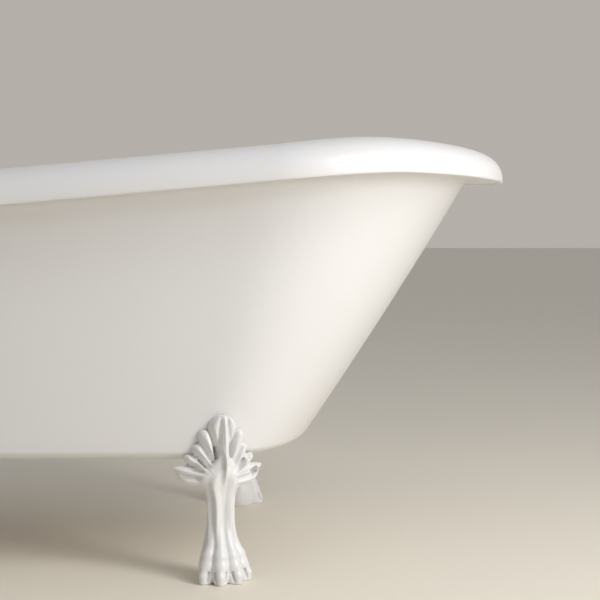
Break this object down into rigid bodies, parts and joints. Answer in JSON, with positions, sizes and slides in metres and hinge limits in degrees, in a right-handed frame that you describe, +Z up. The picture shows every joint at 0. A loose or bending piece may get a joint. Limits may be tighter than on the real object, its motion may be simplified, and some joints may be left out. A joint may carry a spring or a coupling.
{
  "type": "clawfoot bathtub",
  "caption": "Free-standing slipper bath with a rolled rim that rises to a sloping head end, standing on cast lion's-paw feet, with a pop-up waste and a rotary overflow.",
  "frame": {"origin": "on the floor under the middle of the rim's outline", "axes": "+X along the bath towards the head (high) end, -Y is the near long side, +Z up"},
  "size_m": [1.7, 0.7507, 0.6398],
  "materials": {
    "white_acrylic": "gloss",
    "white_cast": "satin enamel",
    "white_steel": "powder coat",
    "resin": "cured resin",
    "board": "raw",
    "zinc_steel": "zinc plated",
    "chrome": "polished",
    "black_rubber": "matte",
    "white_pipe": "moulded",
    "grey_hose": "moulded",
    "black_plastic": "moulded"
  },
  "bodies": {
    "bath": {"base_board": "board", "bath_inner_shell": "white_acrylic", "bath_outer_skin": "white_acrylic", "board_screws": "zinc_steel", "control_cable": "black_plastic", "foot_bolts": "zinc_steel", "foot_bracket_head_far": "white_steel", "foot_bracket_head_near": "white_steel", "foot_bracket_tap_far": "white_steel", "foot_bracket_tap_near": "white_steel", "foot_head_far": "white_cast", "foot_head_near": "white_cast", "foot_tap_far": "white_cast", "foot_tap_near": "white_cast", "foot_washers": "zinc_steel", "hose_clips": "zinc_steel", "overflow_body": "white_pipe", "overflow_face": "chrome", "overflow_gasket": "black_rubber", "overflow_hose": "grey_hose", "rail_bolts": "zinc_steel", "rail_far": "white_steel", "rail_near": "white_steel", "rail_nuts": "zinc_steel", "rail_washers": "zinc_steel", "rim_bond": "resin", "waste_body": "white_pipe", "waste_flange": "chrome", "waste_gasket_lower": "black_rubber", "waste_gasket_upper": "black_rubber"},
    "plug": {"plug_cap": "chrome", "plug_stem": "zinc_steel", "plug_seal": "black_rubber"},
    "plug_lever": {"plug_lift_lever": "black_plastic"},
    "overflow_control": {"overflow_knob": "chrome", "overflow_spindle": "zinc_steel"},
    "leveller_head_near": {"leveller_stud_head_near": "zinc_steel", "leveller_pad_head_near": "black_plastic"},
    "leveller_head_far": {"leveller_stud_head_far": "zinc_steel", "leveller_pad_head_far": "black_plastic"},
    "leveller_tap_near": {"leveller_stud_tap_near": "zinc_steel", "leveller_pad_tap_near": "black_plastic"},
    "leveller_tap_far": {"leveller_stud_tap_far": "zinc_steel", "leveller_pad_tap_far": "black_plastic"}
  },
  "joints": [
    {"name": "knob_turn", "type": "hinge", "parent": "bath", "child": "overflow_control", "pos_m": [-0.69088, 0, 0.452], "axis": [0.9724, 0, 0.2334], "range_deg": [0, 90]},
    {"name": "plug_lift", "type": "slide", "parent": "bath", "child": "plug", "axis": [0, 0, 1], "range_m": [0, 0.008]},
    {"name": "lever_turn", "type": "hinge", "parent": "bath", "child": "plug_lever", "pos_m": [-0.544, 0, 0.18], "axis": [0, -1, 0], "range_deg": [0, 30]},
    {"name": "level_head_near", "type": "slide", "parent": "bath", "child": "leveller_head_near", "axis": [0, 0, -1], "range_m": [0, 0.015]},
    {"name": "level_head_far", "type": "slide", "parent": "bath", "child": "leveller_head_far", "axis": [0, 0, -1], "range_m": [0, 0.015]},
    {"name": "level_tap_near", "type": "slide", "parent": "bath", "child": "leveller_tap_near", "axis": [0, 0, -1], "range_m": [0, 0.015]},
    {"name": "level_tap_far", "type": "slide", "parent": "bath", "child": "leveller_tap_far", "axis": [0, 0, -1], "range_m": [0, 0.015]}
  ],
  "couplings": [
    {"joint": "plug_lift", "follows": "knob_turn", "m_per_rad": 0.0050929},
    {"joint": "lever_turn", "follows": "knob_turn", "ratio": 0.33333}
  ]
}
